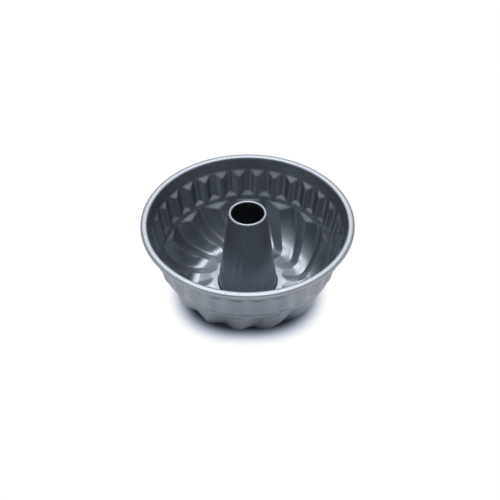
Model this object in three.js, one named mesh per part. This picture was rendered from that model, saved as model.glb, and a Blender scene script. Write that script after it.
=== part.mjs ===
// Mini fluted tube pan in coated steel: a drawn shell with a rolled rim, the wire that the rim is
// rolled round, and a conical centre tube whose foot is hooked round a lip in the shell's floor.
// Millimetres, +Z up, standing on the table at z = 0. Angles are in degrees, clockwise from +Y seen
// from above.

import * as THREE from 'three';

const { clamp, degToRad, euclideanModulo, lerp, mapLinear } = THREE.MathUtils;

// Overall sizes
const RIM_DIAMETER = 160;
const RIM_HEIGHT = 71;
const TUBE_HEIGHT = 76.2;

// Sheet metal and fits
const SHEET = 0.6;
const CLEARANCE = 0.3;

// Rolled rim: its roundness is an exponent, 2 for an ellipse and more for a squarer roll
const RIM_WIDTH = 5.3;
const RIM_DEPTH = 4;
const RIM_ROUNDNESS = 2.5;
const ROLL_START = 160;
const ROLL_END = -110;

// Upper wall with its flutes: slopes are millimetres inward for each millimetre down
const WALL_DRAFT = 0.165;
const FLUTE_COUNT = 30;
const FLUTE_DEPTH = 2.4;
const FLUTE_TOP = 11.2;
const FLUTE_LENGTH = 23.2;
const FLUTE_FACE = 1.8;
const FLUTE_FLOOR = 3.2;
const LEDGE_SLOPE = 0.65;
const FOOT_SLOPE = 0.72;
const RING_HEIGHT = 2.2;

// Lower wall and floor with its swirled ridges, whose swirl eases off over a share of its length
const RIDGE_COUNT = 15;
const RIDGE_TWIST = 19.5;
const SWIRL_END_RADIUS = 42;
const SWIRL_EASE = 0.35;
const RIDGE_CREST = 1.5;
const VALLEY_LAND = 2;
const RIDGE_DEPTH_RING = 3.1;
const RIDGE_DEPTH_BEND = 4.2;
const RIDGE_DEPTH_LAND = 2;
const RIDGE_DEPTH_COLLAR = 0.7;
const SHOULDER_SLOPE = 0.57;
const LOWER_DRAFT = 0.14;
const LOWER_WALL_PULL = 18;
const BEND_PULL = 10;
const BEND_RADIUS = 50;
const LAND_RADIUS = 42.25;
const LAND_LENGTH = 2.5;
const FLOOR_PULL = 0.8;
const COLLAR_RADIUS = 28;
const COLLAR_HEIGHT = 5;

// Centre tube and the seam that locks it to the floor
const TUBE_BASE_RADIUS = 23.5;
const TUBE_TOP_RADIUS = 14.4;
const TUBE_CURL = 1.1;
const CURL_END = 250;
const LIP_LENGTH = 2.4;

// Facets round the plain turned stretches, across each flank of a ridge, along the ridges on the
// wall and on the floor, on a quarter turn of a rolled edge, and round the wire's own section
const TURN_FACETS = 60;
const FLANK_FACETS = 2;
const WALL_FACETS = 8;
const FLOOR_FACETS = 4;
const QUARTER_FACETS = 2;
const WIRE_FACETS = 8;

// Even steps from one value to another, with both of them
function evenSteps(from, to, steps) {
  return Array.from({ length: steps + 1 }, (_, step) => lerp(from, to, step / steps));
}

// The lesser of two values, eased where they cross
function easedMin(first, second, ease) {
  const share = clamp(0.5 + (0.5 * (second - first)) / ease, 0, 1);
  return lerp(second, first, share) - ease * share * (1 - share);
}

// Even angles along an arc, from its start up to but without its end
function arcAngles(from, to) {
  const steps = Math.ceil((Math.abs(to - from) / 90) * QUARTER_FACETS);
  return Array.from({ length: steps }, (_, step) => lerp(from, to, step / steps));
}

// A point of the rolled rim: an angle on the roll and a depth under its outer face
function rollPoint(rollAngle, depth) {
  const power = 2 / RIM_ROUNDNESS;
  const across = Math.cos(degToRad(rollAngle));
  const up = Math.sin(degToRad(rollAngle));
  const halfWidth = RIM_WIDTH / 2;
  const halfDepth = RIM_DEPTH / 2;
  return new THREE.Vector2(
    RIM_DIAMETER / 2 - halfWidth + (halfWidth - depth) * Math.sign(across) * Math.abs(across) ** power,
    RIM_HEIGHT - halfDepth + (halfDepth - depth) * Math.sign(up) * Math.abs(up) ** power,
  );
}

// Levels and radii that the stretches share
const wallTop = rollPoint(ROLL_START, 0);
const fluteTop = RIM_HEIGHT - FLUTE_TOP;
const ringTop = fluteTop - FLUTE_LENGTH;
const ringBottom = ringTop - RING_HEIGHT;
const ringRadius = wallRadius(ringTop) - FLUTE_DEPTH;
const landOuter = LAND_RADIUS + LAND_LENGTH / 2;
const landInner = LAND_RADIUS - LAND_LENGTH / 2;
const lipRadius = TUBE_BASE_RADIUS + CLEARANCE;
const lipBottom = COLLAR_HEIGHT - SHEET - LIP_LENGTH;

// Inner radius of the plain tapered wall
function wallRadius(height) {
  return wallTop.x - WALL_DRAFT * (wallTop.y - height);
}

// 1 on a flute's face, 0 between the flutes, and straight flanks from one to the other
function fluteWave(angle) {
  const pitch = 360 / FLUTE_COUNT;
  const fromFace = Math.abs(euclideanModulo(angle, pitch) - pitch / 2);
  const flank = (pitch - FLUTE_FACE - FLUTE_FLOOR) / 2;
  return clamp(((pitch - FLUTE_FLOOR) / 2 - fromFace) / flank, 0, 1);
}

// Inner radius of the fluted wall, with the sloping ledges over the flutes and the feet between them
function flutedRadius(angle, height) {
  const flute = wallRadius(height) - FLUTE_DEPTH * fluteWave(angle);
  const ledge = wallRadius(fluteTop) - LEDGE_SLOPE * (fluteTop - height);
  const foot = ringRadius + FOOT_SLOPE * Math.max(0, height - ringTop);
  return Math.min(Math.max(flute, ledge), wallRadius(height), foot);
}

// The line of the valleys between the ridges, from the ring down, over the land and up to the collar
function valleyLine() {
  const line = new THREE.CurvePath();
  line.add(new THREE.CubicBezierCurve(
    new THREE.Vector2(ringRadius, ringBottom),
    new THREE.Vector2(ringRadius - LOWER_DRAFT * LOWER_WALL_PULL, ringBottom - LOWER_WALL_PULL),
    new THREE.Vector2(landOuter + BEND_PULL, SHEET),
    new THREE.Vector2(landOuter, SHEET),
  ));
  line.add(new THREE.LineCurve(
    new THREE.Vector2(landOuter, SHEET),
    new THREE.Vector2(landInner, SHEET),
  ));
  line.add(new THREE.QuadraticBezierCurve(
    new THREE.Vector2(landInner, SHEET),
    new THREE.Vector2(landInner - FLOOR_PULL, SHEET),
    new THREE.Vector2(COLLAR_RADIUS, COLLAR_HEIGHT),
  ));
  return line;
}

// 1 on a ridge's crest, 0 on the flat land of the valleys, and straight flanks from one to the other
function ridgeWave(angle) {
  const pitch = 360 / RIDGE_COUNT;
  const fromCrest = Math.abs(euclideanModulo(angle + pitch / 2, pitch) - pitch / 2);
  const flank = (pitch - RIDGE_CREST - VALLEY_LAND) / 2;
  return clamp(((pitch - VALLEY_LAND) / 2 - fromCrest) / flank, 0, 1);
}

// Angles of the columns round the fluted wall: the edges of each flute's floor and face
function fluteAngles() {
  const pitch = 360 / FLUTE_COUNT;
  const angles = [];
  for (let flute = 0; flute < FLUTE_COUNT; flute++) {
    const floor = flute * pitch;
    const face = floor + pitch / 2;
    angles.push(floor - FLUTE_FLOOR / 2, floor + FLUTE_FLOOR / 2);
    angles.push(face - FLUTE_FACE / 2, face + FLUTE_FACE / 2);
  }
  return angles;
}

// Angles of the columns round the ridges: over each crest, down one flank, and up the next one's
function ridgeAngles() {
  const pitch = 360 / RIDGE_COUNT;
  const crestEdge = RIDGE_CREST / 2;
  const valleyEdge = (pitch - VALLEY_LAND) / 2;
  const nearFlank = evenSteps(crestEdge, valleyEdge, FLANK_FACETS);
  const farFlank = nearFlank.slice(1).reverse().map((offset) => pitch - offset);
  const offsets = [-crestEdge, ...nearFlank, ...farFlank];
  const angles = [];
  for (let ridge = 0; ridge < RIDGE_COUNT; ridge++) {
    angles.push(...offsets.map((offset) => ridge * pitch + offset));
  }
  return angles;
}

// Angles of the columns round a plain turned stretch
function turnedAngles() {
  return Array.from({ length: TURN_FACETS }, (_, facet) => (facet * 360) / TURN_FACETS);
}

// A station is a ring of points round the sheet: its angles, how far it is turned, and the radius
// and height at an angle and a depth under the visible face
function station(angles, turn, section) {
  return { angles, turn, section };
}

// Stations up the lip in the floor's hole and out to the collar's inner corner
function lipStations() {
  const angles = turnedAngles();
  return [
    station(angles, RIDGE_TWIST, (_, depth) => new THREE.Vector2(lipRadius + depth, lipBottom)),
    station(angles, RIDGE_TWIST, (_, depth) => new THREE.Vector2(lipRadius + depth, COLLAR_HEIGHT - depth)),
  ];
}

// Distances along the valley line at which the ridged stretch has its stations
function ridgeDistances(line) {
  const [wallEnd, landEnd, lineEnd] = line.getCurveLengths();
  const shoulder = RIDGE_DEPTH_RING / SHOULDER_SLOPE;
  const wall = evenSteps(shoulder, wallEnd, WALL_FACETS);
  return [0, ...wall, ...evenSteps(landEnd, lineEnd, FLOOR_FACETS)];
}

// Depth of the ridges where the valley line is at a radius: they grow from the ring down to the bend,
// are shallower on the land, and fade over the floor up to the collar
function ridgeDepth(radius) {
  if (radius > BEND_RADIUS) {
    return mapLinear(radius, ringRadius, BEND_RADIUS, RIDGE_DEPTH_RING, RIDGE_DEPTH_BEND);
  }
  if (radius > landInner) {
    return mapLinear(radius, BEND_RADIUS, landInner, RIDGE_DEPTH_BEND, RIDGE_DEPTH_LAND);
  }
  return mapLinear(radius, landInner, COLLAR_RADIUS, RIDGE_DEPTH_LAND, RIDGE_DEPTH_COLLAR);
}

// Stations from the collar out along the floor and up the swirled wall to the ring: the ridges start
// with a shoulder under the ring, and don't stand above the collar
function ridgeStations() {
  const line = valleyLine();
  const [, landEnd, lineEnd] = line.getCurveLengths();
  const angles = ridgeAngles();
  return ridgeDistances(line).reverse().map((distance) => {
    const valley = line.getPoint(distance / lineEnd);
    const along = line.getTangent(distance / lineEnd);
    const inward = new THREE.Vector2(along.y, -along.x);
    const full = ridgeDepth(valley.x);
    const limit = distance < landEnd ? distance * SHOULDER_SLOPE : COLLAR_HEIGHT - valley.y;
    const reach = mapLinear(valley.x, ringRadius, SWIRL_END_RADIUS, 0, 1);
    return station(angles, RIDGE_TWIST * easedMin(reach, 1, SWIRL_EASE), (angle, depth) => {
      const rise = Math.min(full * ridgeWave(angle), limit);
      return valley.clone().addScaledVector(inward, rise - depth);
    });
  });
}

// Stations from the ring up the fluted wall to the plain band under the rim
function fluteStations() {
  const ledgeDrop = FLUTE_DEPTH / (LEDGE_SLOPE - WALL_DRAFT);
  const footRise = FLUTE_DEPTH / FOOT_SLOPE;
  const heights = [ringTop, ringTop + footRise, fluteTop - ledgeDrop, fluteTop - ledgeDrop / 2, fluteTop];
  const angles = fluteAngles();
  return heights.map((height) => station(angles, 0, (angle, depth) => (
    new THREE.Vector2(flutedRadius(angle, height) + depth, height)
  )));
}

// Stations over the rolled rim, from the wall's top to the roll's edge underneath
function rimStations() {
  const angles = turnedAngles();
  const overTop = [...arcAngles(ROLL_START, 90), ...arcAngles(90, 0)];
  const rollAngles = [...overTop, ...arcAngles(0, ROLL_END), ROLL_END];
  return rollAngles.map((rollAngle) => station(angles, 0, (_, depth) => rollPoint(rollAngle, depth)));
}

// Triangles between two closed rows of points, each step taken on the row that lags behind
function zipRows(first, second, triangles) {
  let a = 0;
  let b = 0;
  while (a < first.length || b < second.length) {
    const fromFirst = first[a % first.length];
    const fromSecond = second[b % second.length];
    if ((a + 1) * second.length <= (b + 1) * first.length) {
      a++;
      triangles.push(fromFirst, first[a % first.length], fromSecond);
    } else {
      b++;
      triangles.push(fromFirst, second[b % second.length], fromSecond);
    }
  }
}

// A closed sheet through the stations: its visible face, its hidden face and its two edges
function sheetGeometry(stations) {
  const positions = [];
  const rowAt = (ring, depth) => ring.angles.map((angle) => {
    const at = ring.section(angle, depth);
    const turned = degToRad(angle + ring.turn);
    positions.push(at.x * Math.sin(turned), at.x * Math.cos(turned), at.y);
    return positions.length / 3 - 1;
  });
  const visible = stations.map((ring) => rowAt(ring, 0));
  const hidden = stations.map((ring) => rowAt(ring, SHEET));
  const loop = [...visible, ...hidden.reverse()];
  const triangles = [];
  loop.forEach((row, index) => zipRows(row, loop[(index + 1) % loop.length], triangles));
  const geometry = new THREE.BufferGeometry();
  geometry.setAttribute('position', new THREE.Float32BufferAttribute(positions, 3));
  geometry.setIndex(triangles);
  geometry.computeVertexNormals();
  return geometry;
}

// Points on the tube's top curl, from its outer side over its top to its end
function curlArc(radius) {
  const angles = [...arcAngles(0, 90), ...arcAngles(90, CURL_END), CURL_END];
  return angles.map((angle) => new THREE.Vector2(
    TUBE_TOP_RADIUS - TUBE_CURL + radius * Math.cos(degToRad(angle)),
    TUBE_HEIGHT - TUBE_CURL + radius * Math.sin(degToRad(angle)),
  ));
}

// The tube's wall in section: up the outside, over the inward curl, down the inside, and the foot's
// hook out under the lip and up behind it
function tubeGeometry() {
  const hookFloor = lipBottom - CLEARANCE;
  const hookTop = COLLAR_HEIGHT - SHEET - CLEARANCE;
  const hookInner = lipRadius + SHEET + CLEARANCE;
  const outline = [
    new THREE.Vector2(TUBE_BASE_RADIUS, hookFloor),
    new THREE.Vector2(TUBE_BASE_RADIUS, COLLAR_HEIGHT),
    ...curlArc(TUBE_CURL),
    ...curlArc(TUBE_CURL - SHEET).reverse(),
    new THREE.Vector2(TUBE_BASE_RADIUS - SHEET, COLLAR_HEIGHT),
    new THREE.Vector2(TUBE_BASE_RADIUS - SHEET, hookFloor - SHEET),
    new THREE.Vector2(hookInner + SHEET, hookFloor - SHEET),
    new THREE.Vector2(hookInner + SHEET, hookTop),
    new THREE.Vector2(hookInner, hookTop),
    new THREE.Vector2(hookInner, hookFloor),
    new THREE.Vector2(TUBE_BASE_RADIUS, hookFloor),
  ];
  return new THREE.LatheGeometry(outline, TURN_FACETS).rotateX(Math.PI / 2);
}

// The wire, clear of the roll all round by the named clearance
function wireGeometry() {
  const radius = Math.min(RIM_WIDTH, RIM_DEPTH) / 2 - SHEET - CLEARANCE;
  return new THREE.TorusGeometry((RIM_DIAMETER - RIM_WIDTH) / 2, radius, WIRE_FACETS, TURN_FACETS);
}

// Finishes
const coatedSteel = { color: 0x8f959d, roughness: 0.38, metalness: 1 };
const plainWire = { color: 0xb4b6b8, roughness: 0.3, metalness: 1 };

function part(name, geometry, finish, height) {
  const mesh = new THREE.Mesh(geometry, new THREE.MeshStandardMaterial(finish));
  mesh.name = name;
  mesh.position.z = height;
  return mesh;
}

const shellStations = [...lipStations(), ...ridgeStations(), ...fluteStations(), ...rimStations()];
const pan = new THREE.Group();
pan.add(part('fluted_shell', sheetGeometry(shellStations), coatedSteel, 0));
pan.add(part('center_tube', tubeGeometry(), coatedSteel, 0));
pan.add(part('rim_wire', wireGeometry(), plainWire, RIM_HEIGHT - RIM_DEPTH / 2));

export default pan;
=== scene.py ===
"""The looks of a mini fluted tube pan: its coated steel shell and centre tube, and the wire in its rim.

The pan's sizes are millimetres in the part's own frame, +Z up, and become metres when a mesh is made.
Angles are degrees, clockwise from +Y seen from above. Finishes and the studio are in metres.
"""

import logging
import math
from dataclasses import dataclass, field
from enum import Enum
from typing import ClassVar

import bpy
import numpy as np
from mathutils import Matrix, Vector


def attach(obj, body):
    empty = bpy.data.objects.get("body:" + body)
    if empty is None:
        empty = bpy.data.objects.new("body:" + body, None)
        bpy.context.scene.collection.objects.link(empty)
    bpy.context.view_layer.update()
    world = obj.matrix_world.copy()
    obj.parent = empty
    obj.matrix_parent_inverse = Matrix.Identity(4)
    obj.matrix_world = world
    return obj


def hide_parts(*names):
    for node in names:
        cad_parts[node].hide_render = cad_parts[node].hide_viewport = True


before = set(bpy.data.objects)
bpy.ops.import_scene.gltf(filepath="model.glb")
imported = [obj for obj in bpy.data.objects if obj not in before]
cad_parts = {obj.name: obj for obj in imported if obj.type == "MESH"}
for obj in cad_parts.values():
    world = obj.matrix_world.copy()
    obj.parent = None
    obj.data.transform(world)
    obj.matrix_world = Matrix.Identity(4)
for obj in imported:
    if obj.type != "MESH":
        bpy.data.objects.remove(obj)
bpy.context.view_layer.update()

LOG = logging.getLogger("fluted_pan")
MM = 0.001

# Meshes: the attribute that holds the lighter colour for rubbing and painted highlight, and the angle from
# which an edge is drawn sharp
WEAR_AND_HIGHLIGHT = "wear_and_highlight"
SHARP_ANGLE = 50.0

# Shaders: the middle of a noise, and the numbers of a Mix node's colour sockets
NOISE_MIDDLE = 0.5
MIX_FIRST = 6
MIX_SECOND = 7
MIX_RESULT = 2

Colour = tuple[float, float, float]
Pair = tuple[float, float]
WHITE: Colour = (1.0, 1.0, 1.0)
BLACK: Colour = (0.0, 0.0, 0.0)

# Sheet metal, the fit of the pieces, and the heights and radii that they share
SHEET = 0.6
CLEARANCE = 0.3
RIM_DIAMETER = 160.0
RIM_HEIGHT = 71.0
COLLAR_HEIGHT = 5.0
TUBE_BASE_RADIUS = 23.5
LIP_RADIUS = TUBE_BASE_RADIUS + CLEARANCE
LIP_LENGTH = 2.4
LIP_BOTTOM = COLLAR_HEIGHT - SHEET - LIP_LENGTH


class Body(Enum):
    """The part's bodies."""

    ROOT = "root"


class Node(Enum):
    """The solids that the pieces stand for."""

    FLUTED_SHELL = "fluted_shell"
    CENTER_TUBE = "center_tube"
    RIM_WIRE = "rim_wire"


class Slot(Enum):
    """The record's material slots."""

    COATED_STEEL = "coated_steel"
    PLAIN_WIRE = "plain_wire"


class Ease(Enum):
    """How a value goes from one result to another."""

    SMOOTH = "SMOOTHSTEP"
    EVEN = "LINEAR"


def soft_min(first: np.ndarray, second: np.ndarray | float, blend: float) -> np.ndarray:
    """The lesser of two values, rounded where they cross.

    Args:
        first: The first values.
        second: The second values.
        blend: How far apart the values are where the rounding begins.

    Returns:
        The rounded lesser values.
    """
    share = np.clip(0.5 + 0.5 * (second - first) / blend, 0, 1)
    return second * (1 - share) + first * share - blend * share * (1 - share)


def soft_max(first: np.ndarray, second: np.ndarray | float, blend: float) -> np.ndarray:
    """The greater of two values, rounded where they cross, with the arguments of soft_min."""
    return -soft_min(-first, -second, blend)


def bezier(points: list[Pair], share: np.ndarray) -> np.ndarray:
    """Points along a Bezier curve.

    Args:
        points: The curve's control points.
        share: Where along the curve, from 0 to 1.

    Returns:
        One row of coordinates for each share.
    """
    degree = len(points) - 1
    weights = [math.comb(degree, i) * (1 - share) ** (degree - i) * share**i for i in range(degree + 1)]
    return np.stack(weights, axis=1) @ np.array(points)


def even_angles(count: int) -> np.ndarray:
    """Even angles round a full turn, from 0 up to but without its end."""
    return np.arange(count) * 360 / count


def ring_points(radius: np.ndarray | float, height: np.ndarray | float, angles: np.ndarray) -> np.ndarray:
    """Points round the pan's middle.

    Args:
        radius: The distance from the middle, one for all or one for each angle.
        height: The height, one for all or one for each angle.
        angles: Where the points are round the middle.

    Returns:
        One row of coordinates for each angle.
    """
    turned = np.radians(angles)
    return np.stack([radius * np.sin(turned), radius * np.cos(turned), height + 0 * turned], axis=1)


def closed_faces(rows: np.ndarray) -> list[list[int]]:
    """Quads from each closed row of point numbers to the next, and from the last row to the first.

    Args:
        rows: The point numbers, one row for each ring of points.

    Returns:
        The point numbers of each quad.
    """
    following = np.roll(rows, -1, axis=0)
    corners = [rows, following, np.roll(following, -1, axis=1), np.roll(rows, -1, axis=1)]
    return np.stack(corners, axis=2).reshape(-1, 4).tolist()


def make_object(name: str, points: np.ndarray, rows: np.ndarray, wear_and_highlight: np.ndarray) -> bpy.types.Object:
    """A smooth-shaded closed object through rings of points, with its lighter colour for rubbing and
    painted highlight kept on its points.

    Args:
        name: The object's name.
        points: The points in millimetres.
        rows: The point numbers, one row for each ring.
        wear_and_highlight: How much lighter colour each point gets, for rubbing and painted highlight, from
            0 to 1.

    Returns:
        The new object, linked to the scene.
    """
    mesh = bpy.data.meshes.new(name)
    mesh.from_pydata((points * MM).tolist(), [], closed_faces(rows))
    mesh.update()
    mesh.shade_smooth()
    mesh.set_sharp_from_angle(angle=math.radians(SHARP_ANGLE))
    mesh.attributes.new(WEAR_AND_HIGHLIGHT, "FLOAT", "POINT").data.foreach_set("value", wear_and_highlight.astype(np.float32))
    made = bpy.data.objects.new(name, mesh)
    bpy.context.scene.collection.objects.link(made)
    return made


class Value:
    """A shader value: a socket whose arithmetic adds Math nodes."""

    def __init__(self, tree: "ShaderTree", socket: bpy.types.NodeSocket | None) -> None:
        """Keeps the tree and the socket that carries the value."""
        self.tree = tree
        self.socket = socket

    def __add__(self, other: "Value | float") -> "Value":
        """This value plus another."""
        return self.tree.math("ADD", self, other)

    def __sub__(self, other: "Value | float") -> "Value":
        """This value less another."""
        return self.tree.math("SUBTRACT", self, other)

    def __rsub__(self, other: float) -> "Value":
        """A number less this value."""
        return self.tree.math("SUBTRACT", other, self)

    def __mul__(self, other: "Value | float") -> "Value":
        """This value times another."""
        return self.tree.math("MULTIPLY", self, other)

    __radd__ = __add__
    __rmul__ = __mul__


class ShaderTree:
    """The nodes of one material or world."""

    def __init__(self, owner: bpy.types.Material | bpy.types.World) -> None:
        """Starts an empty tree.

        Args:
            owner: The material or world that the tree belongs to.
        """
        owner.use_nodes = True
        self.nodes = owner.node_tree.nodes
        self.links = owner.node_tree.links
        self.nodes.clear()

    def add(
        self, kind: str, settings: dict | None = None, inputs: dict | None = None, output: int | str = 0
    ) -> Value:
        """Adds a node.

        Args:
            kind: The node's type, without the common start of its name.
            settings: Its settings, set first.
            inputs: The value or link of each socket, by name or number.
            output: The socket to return.

        Returns:
            The node's chosen output.
        """
        node = self.nodes.new("ShaderNode" + kind)
        for name, setting in (settings or {}).items():
            setattr(node, name, setting)
        for name, given in (inputs or {}).items():
            if isinstance(given, Value):
                self.links.new(given.socket, node.inputs[name])
            else:
                node.inputs[name].default_value = given
        return Value(self, node.outputs[output] if len(node.outputs) else None)

    def math(self, operation: str, first: Value | float, second: Value | float) -> Value:
        """Adds a Math node on two values."""
        return self.add("Math", {"operation": operation}, {0: first, 1: second})

    def absolute(self, value: Value) -> Value:
        """Adds a Math node that drops a value's sign."""
        return self.add("Math", {"operation": "ABSOLUTE"}, {0: value})

    def axis(self, vector: Value, name: str) -> Value:
        """Adds a node that takes one coordinate of a vector."""
        return self.add("SeparateXYZ", {}, {"Vector": vector}, name)

    def noise(self, place: Value, scale: float, detail: float) -> Value:
        """Adds a noise of a given fineness over a place."""
        return self.add("TexNoise", {}, {"Vector": place, "Scale": scale, "Detail": detail})

    def mixed(self, share: Value, first: Colour | Value, second: Colour | Value) -> Value:
        """Adds a mix of two colours.

        Args:
            share: How much of the second colour there is.
            first: The first colour.
            second: The second colour.

        Returns:
            The mixed colour.
        """
        ends = [given if isinstance(given, Value) else (*given, 1.0) for given in (first, second)]
        settings = {"data_type": "RGBA", "clamp_factor": True}
        return self.add("Mix", settings, {0: share, MIX_FIRST: ends[0], MIX_SECOND: ends[1]}, MIX_RESULT)

    def graded(
        self, value: Value, limits: Pair, results: tuple[Value | float, float], ease: Ease = Ease.SMOOTH
    ) -> Value:
        """Adds a value that goes from one result to another between two limits.

        Args:
            value: The value that the limits are compared with.
            limits: Where the change starts and ends.
            results: The results at the two limits.
            ease: How the change goes.

        Returns:
            The graded value.
        """
        inputs = {"Value": value, "From Min": limits[0], "From Max": limits[1]}
        inputs.update({"To Min": results[0], "To Max": results[1]})
        return self.add("MapRange", {"interpolation_type": ease.value}, inputs)

    def surface(self, sockets: dict) -> None:
        """Adds the surface's own shader and the material's output."""
        self.add("OutputMaterial", {}, {"Surface": self.add("BsdfPrincipled", {}, sockets)})


@dataclass(frozen=True)
class CoatedSteel:
    """A satin grey release coat on drawn steel: fine flakes, cloudy gloss, drawn streaks, and a lighter
    colour for rubbing that is also painted as highlight on up-facing parts.
    """

    name: str = "coated_steel"
    coat: Colour = (0.252, 0.275, 0.309)
    flake: Colour = (0.36, 0.38, 0.42)
    # The lighter colour, for rubbing and for painted highlight
    rubbed_and_highlight: Colour = (0.46, 0.48, 0.52)
    flake_share: float = 0.3
    metallic: float = 1.0
    roughness: float = 0.38
    gloss_change: float = 0.05
    draw_change: float = 0.4
    flake_scale: float = 2600.0
    flake_detail: float = 2.0
    cloud_scale: float = 38.0
    cloud_detail: float = 3.0
    draw_scale: float = 90.0
    draw_detail: float = 2.0
    grain_strength: float = 0.5
    grain_height: float = 0.000012

    def material(self) -> bpy.types.Material:
        """The finish as a material.

        Returns:
            A new material.
        """
        made = bpy.data.materials.new(self.name)
        tree = ShaderTree(made)
        place = tree.add("NewGeometry", {}, {}, "Position")
        flakes = tree.noise(place, self.flake_scale, self.flake_detail)
        clouds = tree.noise(place, self.cloud_scale, self.cloud_detail)
        draws = tree.noise(self.draw_place(tree, place), self.draw_scale, self.draw_detail)
        # Where the points ask for it, the lighter colour is mixed in: rubbing, and painted highlight on the
        # rim's top, the collar, the toes and the tube's curl
        worn_and_highlit = tree.add("Attribute", {"attribute_name": WEAR_AND_HIGHLIGHT}, {}, "Fac")
        speckled = tree.mixed(flakes * self.flake_share, self.coat, self.flake)
        cloudy = (clouds - NOISE_MIDDLE) * self.gloss_change
        streaked = (draws - NOISE_MIDDLE) * self.draw_change
        bump = {"Strength": self.grain_strength, "Distance": self.grain_height, "Height": flakes}
        tree.surface(
            {
                "Base Color": tree.mixed(worn_and_highlit * clouds, speckled, self.rubbed_and_highlight),
                "Metallic": self.metallic,
                "Roughness": self.roughness + cloudy + streaked,
                "Normal": tree.add("Bump", {}, bump, "Normal"),
            }
        )
        return made

    @staticmethod
    def draw_place(tree: ShaderTree, place: Value) -> Value:
        """A place that changes round the pan and not along the draw of the sheet."""
        level = tree.add("VectorMath", {"operation": "MULTIPLY"}, {0: place, 1: (1.0, 1.0, 0.0)})
        return tree.add("VectorMath", {"operation": "NORMALIZE"}, {0: level})


@dataclass(frozen=True)
class PlainWire:
    """Plain drawn steel wire with dull clouds."""

    name: str = "plain_wire"
    colour: Colour = (0.46, 0.47, 0.48)
    dull: Colour = (0.36, 0.36, 0.36)
    metallic: float = 1.0
    roughness: float = 0.3
    gloss_change: float = 0.1
    cloud_scale: float = 300.0
    cloud_detail: float = 2.0

    def material(self) -> bpy.types.Material:
        """The finish as a material.

        Returns:
            A new material.
        """
        made = bpy.data.materials.new(self.name)
        tree = ShaderTree(made)
        place = tree.add("NewGeometry", {}, {}, "Position")
        clouds = tree.noise(place, self.cloud_scale, self.cloud_detail)
        tree.surface(
            {
                "Base Color": tree.mixed(clouds, self.colour, self.dull),
                "Metallic": self.metallic,
                "Roughness": self.roughness + (clouds - NOISE_MIDDLE) * self.gloss_change,
            }
        )
        return made


@dataclass
class Ring:
    """One row of points round the sheet: radius, height, how far it is turned, and how much lighter colour
    it gets for rubbing and painted highlight.
    """

    radius: np.ndarray | float
    height: np.ndarray | float
    turn: float = 0.0
    wear_and_highlight: np.ndarray | float = 0.0


@dataclass
class RolledRim:
    """The roll at the top of the shell; its roundness is 2 for an ellipse and more for a squarer roll."""

    width: float = 5.3
    depth: float = 4.0
    roundness: float = 2.5
    start: float = 160.0
    end: float = -110.0
    rows: int = 30
    # Lighter colour: painted highlight on the roll's upward side, and rubbing with painted highlight on its
    # outer side
    top_highlight: float = 0.12
    edge_wear_and_highlight: float = 0.5

    def point(self, angle: float) -> Pair:
        """A point on the roll's face.

        Args:
            angle: The angle on the roll, from its outer side up.

        Returns:
            Its radius and height.
        """
        power = 2 / self.roundness
        across = math.cos(math.radians(angle))
        up = math.sin(math.radians(angle))
        return (
            RIM_DIAMETER / 2 - self.width / 2 * (1 - math.copysign(abs(across) ** power, across)),
            RIM_HEIGHT - self.depth / 2 * (1 - math.copysign(abs(up) ** power, up)),
        )

    def rings(self) -> list[Ring]:
        """Rows over the roll.

        Returns:
            The rows from the roll's edge underneath over its top to the wall.
        """
        made = []
        for angle in np.linspace(self.end, self.start, self.rows):
            radius, height = self.point(angle)
            upward = max(0.0, math.sin(math.radians(angle)))
            outward = max(0.0, math.cos(math.radians(angle)))
            # The upward side gets painted highlight, the outer side rubbing and painted highlight
            made.append(Ring(radius, height, wear_and_highlight=self.top_highlight * upward + self.edge_wear_and_highlight * outward))
        return made


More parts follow.
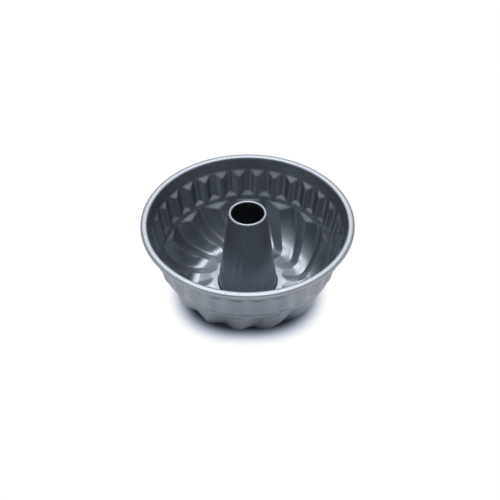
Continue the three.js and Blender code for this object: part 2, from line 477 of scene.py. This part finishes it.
@dataclass
class FlutedWall:
    """The tapered upper wall with its flutes; slopes are millimetres inward for each millimetre down."""

    rim: RolledRim
    draft: float = 0.165
    flutes: int = 30
    flute_depth: float = 2.4
    flute_drop: float = 11.2
    flute_length: float = 23.2
    face: float = 1.8
    floor: float = 3.2
    ledge_slope: float = 0.65
    foot_slope: float = 0.72
    ring_height: float = 2.2
    rounding: float = 0.6
    foot_rounding: float = 0.4
    edge_rounding: float = 0.45
    face_wear_and_highlight: float = 0.05
    rows: int = 42

    def __post_init__(self) -> None:
        """Works out the heights and radii that the stretches share."""
        self.top_radius, self.top = self.rim.point(self.rim.start)
        self.flute_top = RIM_HEIGHT - self.flute_drop
        self.ring_top = self.flute_top - self.flute_length
        self.ring_bottom = self.ring_top - self.ring_height
        self.ring_radius = self.plain_radius(self.ring_top) - self.flute_depth

    def plain_radius(self, height: float) -> float:
        """Inner radius of the plain tapered wall."""
        return self.top_radius - self.draft * (self.top - height)

    def wave(self, angles: np.ndarray) -> np.ndarray:
        """How far the flutes stand in, with rounded edges on their flanks.

        Args:
            angles: Where round the wall.

        Returns:
            1 on a flute's face and 0 between the flutes.
        """
        pitch = 360 / self.flutes
        from_face = np.abs(angles % pitch - pitch / 2)
        flank = ((pitch - self.floor) / 2 - from_face) / ((pitch - self.face - self.floor) / 2)
        return soft_max(soft_min(flank, 1.0, self.edge_rounding), 0.0, self.edge_rounding)

    def radius(self, angles: np.ndarray, height: float) -> np.ndarray:
        """Inner radius at a height, with the sloping ledges over the flutes and the feet between them.

        Args:
            angles: Where round the wall.
            height: The height.

        Returns:
            The radius at each angle.
        """
        plain = self.plain_radius(height)
        flute = plain - self.flute_depth * self.wave(angles)
        ledge = self.plain_radius(self.flute_top) - self.ledge_slope * (self.flute_top - height)
        foot = self.ring_radius + self.foot_slope * (height - self.ring_top)
        fluted = soft_min(soft_max(flute, ledge, self.rounding), plain, self.rounding)
        rounded_foot = soft_max(np.full_like(angles, foot), self.ring_radius, self.rounding)
        return soft_min(fluted, rounded_foot, self.foot_rounding)

    def rings(self, angles: np.ndarray) -> list[Ring]:
        """Rows down the wall.

        Args:
            angles: Where the columns are.

        Returns:
            The rows from the rim down to the ring under the flutes.
        """
        # Flute faces get a little lighter colour, for rubbing and painted highlight
        wear_and_highlight = self.face_wear_and_highlight * self.wave(angles)
        heights = np.linspace(self.top, self.ring_bottom, self.rows + 1)[1:]
        return [Ring(self.radius(angles, height), height, wear_and_highlight=wear_and_highlight) for height in heights]


@dataclass
class SwirledFloor:
    """The lower wall and floor with their swirled ridges, which are deepest at the bend."""

    wall: FlutedWall
    ridges: int = 15
    twist: float = 19.5
    swirl_end_radius: float = 42.0
    swirl_rounding: float = 0.35
    crest: float = 1.5
    land: float = 2.0
    ring_depth: float = 3.1
    bend_depth: float = 4.2
    bend_radius: float = 50.0
    land_depth: float = 2.0
    collar_depth: float = 0.7
    shoulder_slope: float = 0.57
    lower_draft: float = 0.14
    wall_pull: float = 18.0
    bend_pull: float = 10.0
    land_radius: float = 42.25
    land_length: float = 2.5
    floor_pull: float = 0.8
    collar_radius: float = 28.0
    crest_rounding: float = 1.2
    valley_rounding: float = 0.2
    shoulder_rounding: float = 0.25
    # Lighter colour: rubbing with painted highlight on the crests, painted highlight on the toes
    crest_wear_and_highlight: float = 0.12
    crest_wear_and_highlight_power: int = 4
    toe_highlight: float = 0.85
    rows: int = 46
    line_points: int = 400
    slope_reach: float = 0.2

    def __post_init__(self) -> None:
        """Works out the edges of the land that the pan stands on."""
        self.land_outer = self.land_radius + self.land_length / 2
        self.land_inner = self.land_radius - self.land_length / 2

    def valley_line(self) -> tuple[np.ndarray, np.ndarray, float]:
        """The valleys' line from the ring down, over the land and up to the collar.

        Returns:
            Points on it, how far along it each of them is, and how far along it the land ends.
        """
        ring = (self.wall.ring_radius, self.wall.ring_bottom)
        under_ring = (ring[0] - self.lower_draft * self.wall_pull, ring[1] - self.wall_pull)
        outer = (self.land_outer, SHEET)
        inner = (self.land_inner, SHEET)
        share = np.linspace(0, 1, self.line_points)
        wall = bezier([ring, under_ring, (outer[0] + self.bend_pull, SHEET), outer], share)
        land = bezier([outer, inner], share)
        collar = (self.collar_radius, COLLAR_HEIGHT)
        slope = bezier([inner, (inner[0] - self.floor_pull, SHEET), collar], share)
        line = np.vstack([wall, land[1:], slope[1:]])
        along = np.concatenate([[0], np.cumsum(np.hypot(*np.diff(line, axis=0).T))])
        return line, along, along[len(wall) + len(land) - 2]

    def wave(self, angles: np.ndarray) -> np.ndarray:
        """How far the ridges stand up, with rounded crests and valleys.

        Args:
            angles: Where round the floor, before the swirl.

        Returns:
            1 on a ridge's crest and 0 on the valleys' land.
        """
        pitch = 360 / self.ridges
        from_crest = np.abs((angles + pitch / 2) % pitch - pitch / 2)
        flank = ((pitch - self.land) / 2 - from_crest) / ((pitch - self.crest - self.land) / 2)
        rounded = soft_max(soft_min(flank, 1.0, self.crest_rounding), 0.0, self.valley_rounding)
        return rounded / rounded.max()

    def full_depth(self, radius: float) -> float:
        """Depth of the ridges, from the collar out to the ring.

        Args:
            radius: Where the valleys' line is.

        Returns:
            The depth from crest to valley there.
        """
        radii = [self.collar_radius, self.land_inner, self.bend_radius, self.wall.ring_radius]
        depths = [self.collar_depth, self.land_depth, self.bend_depth, self.ring_depth]
        return float(np.interp(radius, radii, depths))

    def turn(self, radius: float) -> float:
        """How far the swirl has turned where the valleys' line is at a radius."""
        reach = (self.wall.ring_radius - radius) / (self.wall.ring_radius - self.swirl_end_radius)
        return self.twist * float(soft_min(np.array(reach), 1.0, self.swirl_rounding))

    def rings(self, angles: np.ndarray) -> list[Ring]:
        """Rows over the ridges, which start with a shoulder and don't stand above the collar.

        Args:
            angles: Where the columns are, before the swirl.

        Returns:
            The rows from under the ring down the swirled wall and over the floor to the collar.
        """
        line, along, land_end = self.valley_line()
        wave = self.wave(angles)
        made = []
        for distance in np.linspace(0, along[-1], self.rows + 1)[1:]:
            near = distance + self.slope_reach * np.array([-1, 0, 1])
            radii, heights = [np.interp(near, along, side) for side in line.T]
            behind, radius, ahead = radii
            under, height, over = heights
            step = np.array([ahead - behind, over - under]) / np.hypot(ahead - behind, over - under)
            rise = soft_min(
                self.full_depth(radius) * wave, distance * self.shoulder_slope, self.shoulder_rounding
            )
            # Crests get rubbing and painted highlight
            wear_and_highlight = self.crest_wear_and_highlight * wave**self.crest_wear_and_highlight_power
            if distance > land_end:
                rise = soft_min(rise, COLLAR_HEIGHT - height, self.shoulder_rounding)
                # Toes beyond the land get painted highlight
                wear_and_highlight = wear_and_highlight + self.toe_highlight
            rise = np.maximum(rise, 0)
            made.append(Ring(radius + step[1] * rise, height - step[0] * rise, self.turn(radius), wear_and_highlight))
        return made


@dataclass
class Piece:
    """A piece of the pan in its finish; each kind of piece names its solid and its material slot."""

    node: ClassVar[Node]
    slot: ClassVar[Slot]
    finish: CoatedSteel | PlainWire

    def dress(self, made: bpy.types.Object) -> None:
        """Gives the piece its finish and its place in the part.

        Args:
            made: The piece's object.
        """
        made.data.materials.append(self.finish.material())
        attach(made, Body.ROOT.value)
        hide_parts(self.node.value)


@dataclass
class FlutedShell(Piece):
    """The drawn shell: rolled rim, fluted wall, swirled floor, and the lip that the tube's foot hooks."""

    node: ClassVar[Node] = Node.FLUTED_SHELL
    slot: ClassVar[Slot] = Slot.COATED_STEEL
    rim: RolledRim = field(default_factory=RolledRim)
    columns: int = 420
    collar_rows: int = 5
    collar_highlight: float = 0.5
    corner_rows: int = 4
    rim_rows_behind: int = 3

    def __post_init__(self) -> None:
        """Sets the wall under the rim and the floor under the wall."""
        self.wall = FlutedWall(self.rim)
        self.floor = SwirledFloor(self.wall)

    def lip_rings(self) -> list[Ring]:
        """Rows over the collar.

        Returns:
            The rows from the ridges over the collar, round its corner and down the lip.
        """
        corner = LIP_RADIUS + SHEET
        turn = self.floor.twist
        radii = np.linspace(self.floor.collar_radius, corner, self.collar_rows + 1)[1:]
        # The collar gets painted highlight
        made = [Ring(radius, COLLAR_HEIGHT, turn, self.collar_highlight) for radius in radii]
        for angle in np.linspace(0, math.pi / 2, self.corner_rows + 1)[1:]:
            height = COLLAR_HEIGHT - SHEET * (1 - math.cos(angle))
            made.append(Ring(corner - SHEET * math.sin(angle), height, turn))
        made.append(Ring(LIP_RADIUS, LIP_BOTTOM, turn))
        return made

    def build(self) -> bpy.types.Object:
        """The shell as one closed sheet, whose outer face has fewer rows behind the rim.

        Returns:
            The sheet's inner face, outer face and two edges as one object.
        """
        angles = even_angles(self.columns)
        rings = self.rim.rings() + self.wall.rings(angles) + self.floor.rings(angles) + self.lip_rings()
        inner = np.stack([ring_points(ring.radius, ring.height, angles + ring.turn) for ring in rings])
        wear_and_highlight = np.stack([ring.wear_and_highlight + 0 * angles for ring in rings])
        along = np.gradient(inner, axis=0)
        around = np.roll(inner, -1, axis=1) - np.roll(inner, 1, axis=1)
        normals = np.cross(along, around)
        outer = inner - SHEET * normals / np.linalg.norm(normals, axis=2, keepdims=True)
        behind = [*range(0, self.rim.rows, self.rim_rows_behind), *range(self.rim.rows, len(rings))]
        points = np.concatenate([inner, outer[behind]]).reshape(-1, 3)
        rows = np.arange(len(points)).reshape(-1, self.columns)
        loop = np.concatenate([rows[: len(rings)], rows[len(rings) :][::-1]])
        return make_object("shell", points, loop, np.concatenate([wear_and_highlight, wear_and_highlight[behind]]).ravel())


@dataclass
class CenterTube(Piece):
    """The conical tube: its inward curl at the top and its hooked foot round the shell's lip."""

    node: ClassVar[Node] = Node.CENTER_TUBE
    slot: ClassVar[Slot] = Slot.COATED_STEEL
    height: float = 76.2
    top_radius: float = 14.4
    curl: float = 1.1
    curl_end: float = 250.0
    columns: int = 192
    curl_rows: int = 22
    wall_rows: int = 16
    curl_wear_and_highlight: float = 0.16

    def curl_arc(self, radius: float) -> list[Pair]:
        """Points on the curl.

        Args:
            radius: The curl's radius at the points.

        Returns:
            The points from the curl's outer side over its top to its end.
        """
        angles = np.radians(np.linspace(0, self.curl_end, self.curl_rows))
        middle = (self.top_radius - self.curl, self.height - self.curl)
        return [(middle[0] + radius * math.cos(a), middle[1] + radius * math.sin(a)) for a in angles]

    def outline(self) -> np.ndarray:
        """The wall in section.

        Returns:
            Radius and height up the outside, over the curl, down the inside and round the hook.
        """
        hook_floor = LIP_BOTTOM - CLEARANCE
        hook_top = COLLAR_HEIGHT - SHEET - CLEARANCE
        hook_inner = LIP_RADIUS + SHEET + CLEARANCE
        over = self.curl_arc(self.curl)
        under = self.curl_arc(self.curl - SHEET)[::-1]
        bore = (TUBE_BASE_RADIUS - SHEET, COLLAR_HEIGHT)
        outside = np.linspace((TUBE_BASE_RADIUS, COLLAR_HEIGHT), over[0], self.wall_rows)[:-1]
        inside = np.linspace(under[-1], bore, self.wall_rows)[1:]
        foot = [
            (TUBE_BASE_RADIUS - SHEET, hook_floor - SHEET),
            (hook_inner + SHEET, hook_floor - SHEET),
            (hook_inner + SHEET, hook_top),
            (hook_inner, hook_top),
            (hook_inner, hook_floor),
            (TUBE_BASE_RADIUS, hook_floor),
        ]
        return np.vstack([outside, over, under, inside, foot])

    def build(self) -> bpy.types.Object:
        """The tube as one turned closed section, with lighter colour at its curl for rubbing and painted
        highlight.

        Returns:
            The tube's object.
        """
        outline = self.outline()
        angles = even_angles(self.columns)
        points = np.concatenate([ring_points(radius, height, angles) for radius, height in outline])
        rows = np.arange(len(points)).reshape(-1, self.columns)
        # The curl gets lighter colour for rubbing and painted highlight
        near_top = np.clip((outline[:, 1] - self.height + 2 * self.curl) / (2 * self.curl), 0, 1)
        wear_and_highlight = np.repeat(self.curl_wear_and_highlight * near_top, self.columns)
        return make_object("tube", points, rows[::-1], wear_and_highlight)


@dataclass
class RimWire(Piece):
    """The plain wire that the rim is rolled round."""

    node: ClassVar[Node] = Node.RIM_WIRE
    slot: ClassVar[Slot] = Slot.PLAIN_WIRE
    rim: RolledRim = field(default_factory=RolledRim)
    columns: int = 240
    section: int = 16

    def build(self) -> bpy.types.Object:
        """The wire as one closed ring, clear of the roll all round.

        Returns:
            The wire's object.
        """
        radius = min(self.rim.width, self.rim.depth) / 2 - SHEET - CLEARANCE
        middle = (RIM_DIAMETER - self.rim.width) / 2
        level = RIM_HEIGHT - self.rim.depth / 2
        angles = even_angles(self.columns)
        points = np.concatenate(
            [
                ring_points(middle + radius * math.cos(turn), level + radius * math.sin(turn), angles)
                for turn in np.radians(even_angles(self.section))
            ]
        )
        rows = np.arange(len(points)).reshape(-1, self.columns)
        return make_object("wire", points, rows[::-1], np.zeros(len(points)))


@dataclass
class SoftBox:
    """A soft lamp that points at the pan, with its width across and its length up and down."""

    name: str
    place: tuple[float, float, float]
    width: float
    length: float
    power: float
    target: tuple[float, float, float] = (0.0, 0.0, 0.03)

    def build(self) -> None:
        """Adds the lamp to the scene."""
        lamp = bpy.data.lights.new(self.name, "AREA")
        lamp.energy = self.power
        lamp.shape = "RECTANGLE"
        lamp.size = self.width
        lamp.size_y = self.length
        made = bpy.data.objects.new(self.name, lamp)
        made.location = self.place
        aim = Vector(self.target) - Vector(self.place)
        made.rotation_euler = aim.to_track_quat("-Z", "Y").to_euler()
        bpy.context.scene.collection.objects.link(made)


@dataclass
class Studio:
    """Camera, lamps, surroundings and the pale floor, with a shadow painted round the pan."""

    # The camera, and how far the pan's middle is off the middle of the picture
    elevation: float = 43.77
    distance: float = 0.5732
    lens: float = 55.21
    sensor: float = 36.0
    nearest: float = 0.01
    off_right: float = -0.0018
    off_up: float = 0.0241

    # The floor, a shadow painted on it under the pan as a darker colour and a bluish tone, and where it
    # turns white to the eye and in reflections, where the painted shadow reaches further
    floor_half: float = 30.0
    floor_colour: Colour = (0.8, 0.81, 0.82)
    shadow_colour: Colour = (0.088, 0.1, 0.124)
    shadow_tint: Colour = (0.66, 0.77, 1.0)
    squareness: float = 2.45
    white_seen: Pair = (0.047, 0.066)
    white_mirrored: Pair = (0.07, 0.115)
    mirrored_stretch: float = 1.7

    # The surroundings: how strong they are on each side, and the directions between which that changes
    sky_colour: Colour = (0.97, 0.985, 1.0)
    front_strength: float = 0.46
    back_strength: float = 0.42
    side_strength: float = 0.78
    top_strength: float = 0.72
    back_limits: Pair = (-0.3, 0.3)
    side_limits: Pair = (0.3, 0.8)
    top_limits: Pair = (0.4, 0.95)

    lamps: tuple[SoftBox, ...] = (SoftBox("top_lamp", (-0.02, 0.33, 1.08), 1.02, 1.7, 13.9),)

    def build(self) -> None:
        """Adds everything round the pan."""
        self.camera()
        self.sky()
        self.floor()
        for lamp in self.lamps:
            lamp.build()

    def camera(self) -> None:
        """Adds the camera at the photograph's viewing angle."""
        tilt = math.radians(self.elevation)
        ahead = Vector((0, math.cos(tilt), -math.sin(tilt)))
        up = Vector((0, math.sin(tilt), math.cos(tilt)))
        right = Vector((1, 0, 0))
        seen = Vector((0, 0, RIM_HEIGHT * MM))
        data = bpy.data.cameras.new("camera")
        data.sensor_width = self.sensor
        data.lens = self.lens
        data.clip_start = self.nearest
        made = bpy.data.objects.new("camera", data)
        stand = Matrix((right, up, -ahead)).transposed().to_4x4()
        stand.translation = seen - self.distance * ahead - self.off_right * right - self.off_up * up
        made.matrix_world = stand
        bpy.context.scene.collection.objects.link(made)
        bpy.context.scene.camera = made

    def sky(self) -> None:
        """Adds the soft light round the scene, which is strongest at the sides and overhead."""
        world = bpy.data.worlds.new("sky")
        tree = ShaderTree(world)
        facing = tree.add("TexCoord", {}, {}, "Generated")
        side = tree.absolute(tree.axis(facing, "X"))
        ahead = tree.graded(
            tree.axis(facing, "Y"), self.back_limits, (self.front_strength, self.back_strength)
        )
        level = tree.graded(side, self.side_limits, (ahead, self.side_strength))
        strength = tree.graded(tree.axis(facing, "Z"), self.top_limits, (level, self.top_strength))
        inputs = {"Color": (*self.sky_colour, 1.0), "Strength": strength}
        tree.add("OutputWorld", {}, {"Surface": tree.add("Background", {}, inputs)})
        bpy.context.scene.world = world

    def squared_distance(self, tree: ShaderTree, across: Value, along: Value) -> Value:
        """How far a place is from the middle, measured along a rounded square."""
        squares = tree.math("POWER", across, self.squareness) + tree.math("POWER", along, self.squareness)
        return tree.math("POWER", squares, 1 / self.squareness)

    def paper(self) -> bpy.types.Material:
        """The floor's paper: it keeps the pan's real shadow in its matte part, has a shadow painted round
        the pan as a darker colour and a bluish tone, and turns plain white away from it.

        Returns:
            A new material.
        """
        made = bpy.data.materials.new("floor_paper")
        tree = ShaderTree(made)
        place = tree.add("NewGeometry", {}, {}, "Position")
        across = tree.absolute(tree.axis(place, "X"))
        along = tree.absolute(tree.axis(place, "Y"))
        far = self.squared_distance(tree, across, along)
        far_mirrored = self.squared_distance(tree, across * self.mirrored_stretch, along)
        # Painted shadow: dark next to the pan, fading to white to the eye
        seen = tree.graded(far, self.white_seen, (0.0, 1.0))
        # In reflections the painted shadow reaches further, and less far to the sides
        mirrored = tree.graded(far_mirrored, self.white_mirrored, (0.0, 1.0), Ease.EVEN)
        camera = tree.add("LightPath", {}, {}, "Is Camera Ray")
        glossy = tree.add("LightPath", {}, {}, "Is Glossy Ray")
        through = tree.add("LightPath", {}, {}, "Is Transmission Ray")
        share = seen * camera + mirrored * (glossy + through)
        # The matte colour is painted darker round the pan, and the emission is painted bluish there
        matt_with_painted_shadow = tree.mixed(seen, self.shadow_colour, self.floor_colour)
        emission_with_painted_tint = tree.mixed(share, self.shadow_tint, WHITE)
        tree.surface(
            {
                "Base Color": tree.mixed(share, matt_with_painted_shadow, BLACK),
                "Roughness": 1.0,
                "Specular IOR Level": 0.0,
                "Emission Color": tree.mixed(share, BLACK, emission_with_painted_tint),
                "Emission Strength": 1.0,
            }
        )
        return made

    def floor(self) -> None:
        """Adds the floor that the pan stands on."""
        half = self.floor_half
        corners = [(-half, -half, 0), (half, -half, 0), (half, half, 0), (-half, half, 0)]
        mesh = bpy.data.meshes.new("floor")
        mesh.from_pydata(corners, [], [(0, 1, 2, 3)])
        mesh.materials.append(self.paper())
        made = bpy.data.objects.new("floor", mesh)
        bpy.context.scene.collection.objects.link(made)


def main() -> None:
    """Builds and dresses the pan, piece by piece, and then the studio round it."""
    logging.basicConfig(level=logging.INFO, format="%(message)s")
    bpy.context.scene.view_settings.view_transform = "Standard"
    coated = CoatedSteel()
    for piece in (FlutedShell(coated), CenterTube(coated), RimWire(PlainWire())):
        made = piece.build()
        piece.dress(made)
        LOG.info("%s: %d faces", made.name, len(made.data.polygons))
    Studio().build()


if __name__ == "__main__":
    main()
